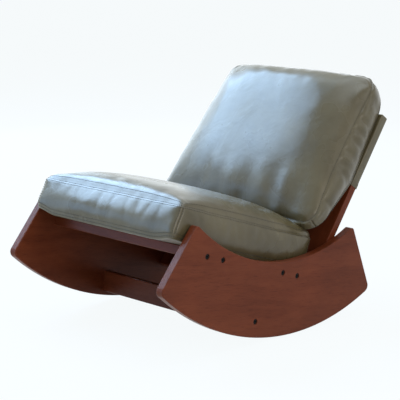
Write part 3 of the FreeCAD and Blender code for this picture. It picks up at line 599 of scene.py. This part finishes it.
def calm_crown(points, form):
    """Smooths the folds that the simulation leaves at the corners of the crown, the same at both of its ends.
    """
    along, across = grid_counts(form)
    count = (along + 1) * (across + 1)
    crown = points[:count].reshape(along + 1, across + 1, 3).copy()
    share_x = np.abs(crown[:, :, 0]) / form.half_width
    share_y = np.abs(crown[:, :, 1]) / form.half_length
    amount = smooth_step(share_x, 0.35, 0.7) * smooth_step(share_y, 0.2, 0.6)
    for edge in (amount, amount[::-1], amount.T, amount.T[::-1]):
        edge[:KEPT_ROWS] = 0
    amount = amount[1:-1, 1:-1, None]
    for _ in range(CALMING_STEPS):
        around = (crown[:-2, 1:-1] + crown[2:, 1:-1] + crown[1:-1, :-2] + crown[1:-1, 2:]) / 4
        crown[1:-1, 1:-1] += CALMING_SHARE * amount * (around - crown[1:-1, 1:-1])
    calmed = points.copy()
    calmed[:count] = crown.reshape(-1, 3)
    return calmed


def pucker(mesh, rings, depth, seed):
    """Creases across the boxing, uneven in place, deepest near the crown's seam."""
    points, outward = coordinates(mesh), normals(mesh)
    boxing = rings["boxing"]
    for level, ring in enumerate(boxing):
        share = (level + 0.5) / len(boxing)
        fade = math.sin(math.pi * share ** 0.6)
        for spot, index in enumerate(ring):
            place = Vector((GRID * PUCKER_PITCH * spot, seed, 0.5 * share))
            sharp = max(0, 1 - PUCKER_SHARPNESS * abs(noise.noise(place)))
            points[index] += outward[index] * depth * fade * (PUCKER_LIFT - sharp * sharp)
    set_coordinates(mesh, points)


def corner_columns(rings, offset):
    """The upright rows of points in the boxing, at or beside its corners."""
    return [[ring[(corner + offset) % len(ring)] for ring in rings["boxing"]] for corner in rings["corners"]]


def sink_corners(points, rings):
    """Draws the corner seams of the boxing in."""
    sunk = points.copy()
    for column in corner_columns(rings, 0):
        inward = -np.sign(points[column][:, :2]) * math.sqrt(0.5)
        sunk[column, :2] += CORNER_SINK * inward
    return sunk


def crease_seams(mesh, seams):
    """Keeps the seams crisp under the subdivision."""
    pairs = {frozenset(pair) for seam in seams for pair in zip(seam, seam[1:])}
    layer = mesh.attributes.new("crease_edge", "FLOAT", "EDGE")
    for edge in mesh.edges:
        if frozenset(edge.vertices) in pairs:
            layer.data[edge.index].value = SEAM_CREASE


def add_cushion(name, form, crown_start, low_spare, puckers, warp, place, body, nodes, seed):
    points, faces, rings = cushion_mesh(form, crown_start)
    points = sink_corners(roughen(points, UNEVENNESS, UNEVEN_SCALE, seed), rings)
    piece = add_mesh(name, points, faces, hide, body)
    pinned = rings["top_seam"] + rings["low_seam"] + rings["base"]
    corner_seams = corner_columns(rings, 0)
    slack = spare_leather(points, rings, form, low_spare)
    inflate(piece, pinned, slack, PRESSURE, CLOTH_FRAMES, FARTHEST_MOVE)
    set_coordinates(piece.data, warp(calm_crown(coordinates(piece.data), form)))
    pucker(piece.data, rings, puckers, seed)
    loops = [ring + ring[:1] for ring in (rings["top_seam"], rings["low_seam"])]
    crease_seams(piece.data, loops + corner_seams)
    piece.data.transform(place)
    piece.data.update()
    smoothing = piece.modifiers.new("smoothing", "SUBSURF")
    smoothing.levels = 1
    smoothing.render_levels = 1
    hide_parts(*nodes)
    return piece, rings


STITCH_PITCH = 0.0062
STITCH_LENGTH = 0.0046
STITCH_RADIUS = 0.0007
ZIP_STEPS = 170
ZIP_MARGIN = 6
ZIP_THICKNESS = 0.0006
# Places across the tape, each with its height
TAPE_SECTION = ((-0.006, 0.0004), (-0.003, 0.0010), (0.003, 0.0010), (0.006, 0.0004))
# Half sizes along the zip, across it and up
TOOTH_HALF = (0.0009, 0.0018, 0.0008)
TOOTH_SHIFT = 0.0011
TOOTH_HEIGHT = 0.0018
SLIDER_SPOT = 6
SLIDER_HALF = (0.0050, 0.0038, 0.0016)
SLIDER_HEIGHT = 0.0030
PULL_HALF = (0.0090, 0.0022, 0.0007)
PULL_HEIGHT = 0.0050
PULL_BACK = 0.010


def stitch_row(points, outward, pitch, length, radius):
    """Points and faces of a row of single stitches that lie on a surface."""
    steps = np.r_[0, np.cumsum(np.linalg.norm(np.diff(points, axis=0), axis=1))]
    count = int(steps[-1] / pitch)
    verts, faces = [], []
    for number in range(count):
        start = steps[-1] * number / count
        spots = start + length * np.array([0, 0.25, 0.75, 1])
        line = np.stack([np.interp(spots, steps, points[:, axis]) for axis in range(3)], axis=1)
        up = np.stack([np.interp(spots, steps, outward[:, axis]) for axis in range(3)], axis=1)
        up /= np.linalg.norm(up, axis=1, keepdims=True)
        line = line + up * (radius * np.array([-0.8, 0.6, 0.6, -0.8]))[:, None]
        along = line[-1] - line[0]
        along /= np.linalg.norm(along)
        first = len(verts)
        for spot in range(4):
            side = np.cross(along, up[spot])
            for corner in range(5):
                angle = 2 * math.pi * corner / 5
                verts.append(line[spot] + radius * (math.cos(angle) * side + math.sin(angle) * up[spot]))
        for spot in range(3):
            for corner in range(5):
                after = (corner + 1) % 5
                a = first + spot * 5
                faces.append((a + corner, a + after, a + 5 + after, a + 5 + corner))
        faces.append(tuple(first + corner for corner in reversed(range(5))))
        faces.append(tuple(first + 15 + corner for corner in range(5)))
    return verts, faces


def shown_surface(piece):
    """The piece's mesh as its modifiers leave it."""
    found = piece.evaluated_get(bpy.context.evaluated_depsgraph_get())
    return coordinates(found.data), normals(found.data)


def add_stitches(name, piece, rings, row_names, body):
    places, outward = shown_surface(piece)
    verts, faces = [], []
    rows = [rings[row_name] + rings[row_name][:1] for row_name in row_names]
    for row in rows + corner_columns(rings, 1) + corner_columns(rings, -1):
        row_verts, row_faces = stitch_row(places[row], outward[row], STITCH_PITCH, STITCH_LENGTH,
                                          STITCH_RADIUS)
        shift = len(verts)
        verts += row_verts
        faces += [tuple(index + shift for index in face) for face in row_faces]
    return add_mesh(name, verts, faces, thread, body)


def add_zip(name, piece, ring, side, counts, body, node):
    """A zip along one side of the boxing: two tapes, rows of teeth, a slider and its pull."""
    places, outward = shown_surface(piece)
    along_count, across_count = counts
    starts = np.cumsum([0, along_count, across_count, along_count, across_count])
    chosen = ring[starts[side] + ZIP_MARGIN:starts[side + 1] - ZIP_MARGIN]
    line = resample(places[chosen], ZIP_STEPS)
    up = resample(outward[chosen], ZIP_STEPS)
    up /= np.linalg.norm(up, axis=1, keepdims=True)
    along = np.gradient(line, axis=0)
    along /= np.linalg.norm(along, axis=1, keepdims=True)
    across = np.cross(up, along)
    verts, faces = [], []
    for spot in range(len(line)):
        for width, height in TAPE_SECTION:
            verts.append(line[spot] + across[spot] * width + up[spot] * height)
    for spot in range(len(line) - 1):
        for column in range(3):
            a = spot * 4 + column
            faces.append((a, a + 1, a + 5, a + 4))
    tape = add_mesh(name, verts, faces, zip_tape, body)
    thickness = tape.modifiers.new("thickness", "SOLIDIFY")
    thickness.thickness = ZIP_THICKNESS
    verts, faces = [], []

    def block(centre, axes, half):
        first = len(verts)
        for sz in (-1, 1):
            for sy in (-1, 1):
                for sx in (-1, 1):
                    corner = centre + sx * half[0] * axes[0] + sy * half[1] * axes[1]
                    verts.append(corner + sz * half[2] * axes[2])
        for face in ((0, 2, 3, 1), (4, 5, 7, 6), (0, 1, 5, 4), (2, 6, 7, 3), (0, 4, 6, 2), (1, 3, 7, 5)):
            faces.append(tuple(first + corner for corner in face))

    for spot in range(2, len(line) - 2):
        axes = (along[spot], across[spot], up[spot])
        shift = TOOTH_SHIFT if spot % 2 else -TOOTH_SHIFT
        block(line[spot] + across[spot] * shift + up[spot] * TOOTH_HEIGHT, axes, TOOTH_HALF)
    spot = SLIDER_SPOT
    axes = (along[spot], across[spot], up[spot])
    block(line[spot] + up[spot] * SLIDER_HEIGHT, axes, SLIDER_HALF)
    block(line[spot] + up[spot] * PULL_HEIGHT - along[spot] * PULL_BACK, axes, PULL_HALF)
    teeth = add_mesh(name + "_teeth", verts, faces, zip_metal, body)
    teeth.data.polygons.foreach_set("use_smooth", [False] * len(teeth.data.polygons))
    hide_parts(node)


seat_form = Cushion(half_width=0.281, half_length=0.257, low_corner=0.016, high_corner=0.034, taper=0,
                    boxing=0.086, crown=0.058, fullness=0.65, high_run=0.7, rear_rounding=0)
back_form = Cushion(half_width=0.295, half_length=0.225, low_corner=0.042, high_corner=0.048, taper=0.013,
                    boxing=0.088, crown=0.044, fullness=0.85, high_run=0.40, rear_rounding=0.045)
SEAT_PLACE = SEAT @ move(0, 0.136, 0.0128)
BACK_PLACE = BACK @ move(0, -0.0028, 0.575) @ turn_x(math.pi / 2)


SEAT_FRONT_REACH = 0.010
SEAT_REAR_REACH = 0.008
SEAT_REAR_CROWN = 0.010
SEAT_CORNER_LIFT = 0.012


def seat_warp(points):
    """Lets the front's lower edge stand forward, with its corners rounded up."""
    shaped = points.copy()
    front = smooth_step(-points[:, 1], 0.15, 0.257)
    rear = smooth_step(points[:, 1], 0.17, 0.257)
    low = 1 - smooth_step(points[:, 2], 0.01, 0.09)
    corner = smooth_step(np.abs(points[:, 0]), 0.19, 0.281)
    shaped[:, 1] -= SEAT_FRONT_REACH * front * low
    shaped[:, 1] += SEAT_REAR_REACH * rear * low
    shaped[:, 1] += SEAT_REAR_CROWN * rear * smooth_step(points[:, 2], 0.06, 0.11)
    lifted = front * corner * (1 - smooth_step(points[:, 2], 0.03, 0.1))
    shaped[:, 2] += SEAT_CORNER_LIFT * lifted
    return shaped


BACK_THINNING = 0.033
BACK_DROP = 0.008
BACK_RECESS = 0.075
BACK_BOW = 0.012
BACK_FOOT_DROP = 0.024
FOOT_FOLDS = 0.009


def back_warp(points):
    """Thins the cushion towards its top, bows its top, and rounds and folds its foot."""
    shaped = points.copy()
    depth = np.minimum(points[:, 2] / back_form.high_seam, 1)
    raised = np.clip((points[:, 2] - back_form.high_seam) / back_form.crown, 0, 1)
    high = smooth_step(points[:, 1], -0.16, 0.3)
    shaped[:, 2] -= BACK_THINNING * depth * high * (1 - raised)
    bowed = smooth_step(points[:, 1], 0.08, 0.225) * (1 - (points[:, 0] / back_form.half_width) ** 2)
    shaped[:, 1] += BACK_BOW * bowed
    low = np.clip(-points[:, 1] / back_form.half_length, 0, 1)
    corner = smooth_step(np.abs(points[:, 0]), 0.06, 0.28)
    shaped[:, 1] -= low * (BACK_FOOT_DROP + BACK_DROP * corner * (1 - depth))
    shaped[:, 2] += BACK_RECESS * np.clip((-points[:, 1] - 0.06) / 0.165, 0, 1) * (1 - depth)
    foot = raised * (1 - smooth_step(points[:, 1] + back_form.half_length, 0.02, 0.17))
    folds = [noise.noise(Vector((17 * x, 2.0, 2.5 * y))) for x, y in points[:, :2]]
    shaped[:, 2] += FOOT_FOLDS * foot * np.array(folds)
    return shaped


def cover_nodes(start):
    """The CAD nodes of one cushion apart from its zip."""
    return [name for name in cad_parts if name.startswith(start) and not name.endswith("zip")]


seat_piece, seat_rings = add_cushion(
    "seat_cushion_piece", seat_form, crown_start=0.055, low_spare=0, puckers=0.0016, warp=seat_warp,
    place=SEAT_PLACE, body="seat_cushion", nodes=cover_nodes("seat_cushion"), seed=3.1)
back_piece, back_rings = add_cushion(
    "back_cushion_piece", back_form, crown_start=0.044, low_spare=0.03, puckers=0.007, warp=back_warp,
    place=BACK_PLACE, body="back_cushion", nodes=cover_nodes("back_cushion"), seed=8.7)
SEAT_STITCH_ROWS = ["top_seam", "top_stitch", "boxing_top_stitch", "boxing_low_stitch", "lip_stitch"]
BACK_STITCH_ROWS = ["top_seam", "boxing_low_stitch", "lip_stitch"]
add_stitches("seat_cushion_stitches", seat_piece, seat_rings, SEAT_STITCH_ROWS, "seat_cushion")
add_stitches("back_cushion_stitches", back_piece, back_rings, BACK_STITCH_ROWS, "back_cushion")
# Sides are counted from +X, counter-clockwise
REAR_SIDE = 1
FOOT_SIDE = 3
add_zip("seat_cushion_zip_piece", seat_piece, seat_rings["boxing_middle"], REAR_SIDE, grid_counts(seat_form),
        "seat_cushion", "seat_cushion_zip")
add_zip("back_cushion_zip_piece", back_piece, back_rings["boxing_middle"], FOOT_SIDE, grid_counts(back_form),
        "back_cushion", "back_cushion_zip")


# Leather pocket over the top of the back: an inner surface in the back's frame, with a thickness outside it
POCKET_HALF = 0.2856
POCKET_HEM = 0.5005
POCKET_TOP = 0.7247
POCKET_MIDDLE = 0.011
POCKET_HALF_DEPTH = 0.0116
POCKET_CORNER = 0.002
POCKET_LEATHER = 0.0017
HEM_HEIGHT = 0.014
POCKET_ROWS = 36
POCKET_COLUMNS = 90
POCKET_PUFF = 0.0022
HEM_STEP = 0.0008
HEM_EDGE = 0.002
HEM_STITCH_DROP = 0.003
HEM_STITCH_LENGTH = 0.0044
HEM_STITCH_RADIUS = 0.00055


def pocket_section(inset):
    """Half of the pocket's section, from the middle of its right side round its rear to its left side."""
    reach, depth = POCKET_HALF - POCKET_CORNER, POCKET_HALF_DEPTH - POCKET_CORNER
    turn = np.linspace(0, math.pi / 2, 4)
    radius = POCKET_CORNER - inset
    right = np.column_stack([reach + radius * np.cos(turn), depth + radius * np.sin(turn)])
    right = np.concatenate([[(reach + radius, 0), (reach + radius, depth / 2)], right])
    flat_x = np.linspace(reach, -reach, POCKET_COLUMNS)[1:-1]
    flat = np.column_stack([flat_x, np.full(len(flat_x), depth + radius)])
    return np.concatenate([right, flat, right[::-1] * (-1, 1)])


def pocket_ring(z, inset, depth_share):
    """One closed ring of the pocket, with soft swellings in its rear and a turned hem at its foot."""
    half = pocket_section(inset)
    hem_top = POCKET_HEM + HEM_HEIGHT
    hem = HEM_STEP * (1 - smooth_step(z, hem_top - HEM_EDGE, hem_top))
    calm = smooth_step(POCKET_TOP - z, 0.004, 0.05)
    rear = []
    for x, y in half:
        crinkle = noise.noise(Vector((x * 22, 5.0, z * 16)))
        inner = 1 - (x / POCKET_HALF) ** 4
        puff = calm * inner * max(0, POCKET_PUFF + POCKET_PUFF * crinkle)
        puff += hem * min(1, y / POCKET_HALF_DEPTH)
        spread = math.copysign(hem if abs(x) > POCKET_HALF - POCKET_CORNER else 0, x)
        rear.append((x + spread, POCKET_MIDDLE + depth_share * (y + puff), z))
    front = [(x, POCKET_MIDDLE - depth_share * y, z) for x, y in half[-2:0:-1]]
    return rear + front


def join_doubles(mesh):
    """Joins the points that lie on one another."""
    shape = bmesh.new()
    shape.from_mesh(mesh)
    bmesh.ops.remove_doubles(shape, verts=shape.verts, dist=1e-5)
    shape.to_mesh(mesh)
    shape.free()
    mesh.update()


def add_pocket():
    rings = [pocket_ring(POCKET_HEM + (POCKET_TOP - POCKET_CORNER - POCKET_HEM) * row / POCKET_ROWS, 0, 1)
             for row in range(POCKET_ROWS + 1)]
    for turn in (math.pi / 6, math.pi / 3, math.pi / 2):
        rise = POCKET_CORNER * (math.sin(turn) - 1)
        rings.append(pocket_ring(POCKET_TOP + rise, POCKET_CORNER * (1 - math.cos(turn)), 1))
    for depth_share in (0.5, 0):
        rings.append(pocket_ring(POCKET_TOP, POCKET_CORNER, depth_share))
    count = len(rings[0])
    faces = []
    for row in range(len(rings) - 1):
        for spot in range(count):
            after = (spot + 1) % count
            a, b = row * count, (row + 1) * count
            faces.append((a + spot, a + after, b + after, b + spot))
    points = [tuple(BACK @ Vector(point)) for ring in rings for point in ring]
    piece = add_mesh("back_pocket_piece", points, faces, hide, "back_cushion")
    join_doubles(piece.data)
    thickness = piece.modifiers.new("thickness", "SOLIDIFY")
    thickness.thickness = POCKET_LEATHER
    thickness.offset = 1
    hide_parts("back_pocket_front", "back_pocket_rear", "back_pocket_gusset")
    stitch_ring = pocket_ring(POCKET_HEM + HEM_HEIGHT - HEM_STITCH_DROP, 0, 1)
    row = np.array([tuple(BACK @ Vector(point)) for point in stitch_ring])
    outward = row - np.array(BACK @ Vector((0, POCKET_MIDDLE, POCKET_HEM + HEM_HEIGHT)))
    back_axis, across_axis = np.array(BACK.col[1])[:3], np.array((1, 0, 0))
    depth = outward @ back_axis
    sides = np.abs(row[:, 0]) > POCKET_HALF - 0.0005
    outward = np.where(sides[:, None], np.sign(row[:, :1]) * across_axis, np.sign(depth)[:, None] * back_axis)
    verts, faces = stitch_row(row + outward * POCKET_LEATHER, outward, STITCH_PITCH, HEM_STITCH_LENGTH,
                              HEM_STITCH_RADIUS)
    stitches = add_mesh("back_pocket_stitches", verts, faces, thread, "back_cushion")


add_pocket()


# Floor, backdrop and soft studio light
BACKGROUND = (0.955, 0.99, 1, 1)
FLOOR_HALF = 60.0
FLOOR_GLOW = 0.95


def seen_directly(tree):
    """One where a ray comes from the camera, a glossy surface or glass, or else nought."""
    path = add_node(tree, "ShaderNodeLightPath").outputs
    glossy = add_node(tree, "ShaderNodeMath", {0: path["Is Camera Ray"], 1: path["Is Glossy Ray"]},
                      operation="MAXIMUM").outputs[0]
    return add_node(tree, "ShaderNodeMath", {0: glossy, 1: path["Is Transmission Ray"]},
                    operation="MAXIMUM").outputs[0]


def add_floor():
    points = [(x * FLOOR_HALF, y * FLOOR_HALF, 0) for x, y in ((-1, -1), (1, -1), (1, 1), (-1, 1))]
    mesh = bpy.data.meshes.new("floor")
    mesh.from_pydata(points, [], [(0, 1, 2, 3)])
    floor = bpy.data.objects.new("floor", mesh)
    scene.collection.objects.link(floor)
    material = bpy.data.materials.new("floor")
    material.use_nodes = True
    tree = material.node_tree
    tree.nodes.clear()
    output = tree.nodes.new("ShaderNodeOutputMaterial")
    matt = add_node(tree, "ShaderNodeBsdfDiffuse", {"Color": (0.86, 0.88, 0.9, 1)})
    glow = add_node(tree, "ShaderNodeEmission", {"Color": BACKGROUND, "Strength": 1.0})
    seen = add_node(tree, "ShaderNodeMath", {0: seen_directly(tree), 1: FLOOR_GLOW}, operation="MULTIPLY")
    mixed = add_node(tree, "ShaderNodeMixShader",
                     {"Fac": seen.outputs[0], 1: matt.outputs[0], 2: glow.outputs[0]})
    tree.links.new(mixed.outputs[0], output.inputs["Surface"])
    floor.data.materials.append(material)


def add_world():
    world = bpy.data.worlds.new("world")
    scene.world = world
    world.use_nodes = True
    tree = world.node_tree
    tree.nodes.clear()
    output = tree.nodes.new("ShaderNodeOutputWorld")
    light = add_node(tree, "ShaderNodeBackground", {"Color": (0.96, 0.98, 1, 1), "Strength": 0.3})
    seen = add_node(tree, "ShaderNodeBackground", {"Color": BACKGROUND, "Strength": 1.0})
    mixed = add_node(tree, "ShaderNodeMixShader",
                     {"Fac": seen_directly(tree), 1: light.outputs[0], 2: seen.outputs[0]})
    tree.links.new(mixed.outputs[0], output.inputs["Surface"])


def add_lamp(name, location, target, width, height, watts, colour):
    """A soft rectangular lamp that the camera doesn't see, turned to its target."""
    data = bpy.data.lights.new(name, "AREA")
    data.shape = "RECTANGLE"
    data.size = width
    data.size_y = height
    data.energy = watts
    data.color = colour
    lamp = bpy.data.objects.new(name, data)
    scene.collection.objects.link(lamp)
    lamp.visible_camera = False
    lamp.location = location
    lamp.rotation_euler = (Vector(target) - Vector(location)).to_track_quat("-Z", "Y").to_euler()


add_floor()
add_world()
add_lamp("window", (-3.2, -0.5, 3.1), (0, 0, 0.5), 3.8, 2.4, 320, (0.45, 0.69, 1))
add_lamp("far_window", (-3.4, 0.9, 1.0), (0, 0.1, 0.5), 2.4, 1.5, 26, (0.66, 0.83, 1))
add_lamp("overhead", (0.3, 0.6, 3.2), (0, 0, 0.3), 2.6, 2.2, 46, (0.80, 0.91, 1))
add_lamp("side_fill", (3.0, -1.0, 1.3), (0, 0, 0.3), 2.0, 1.8, 30, (1, 0.95, 0.88))
add_lamp("backdrop", (-2.0, 3.0, 1.3), (0, 0.1, 0.4), 2.6, 1.2, 14, (0.80, 0.90, 1))
add_lamp("low_window", (-2.4, -2.8, 0.9), (0, -0.1, 0.4), 3.0, 1.2, 24, (0.22, 0.52, 1))
add_lamp("rear_fill", (2.9, 1.5, 1.7), (0, 0.2, 0.4), 1.4, 1.4, 5, (0.92, 0.97, 1))
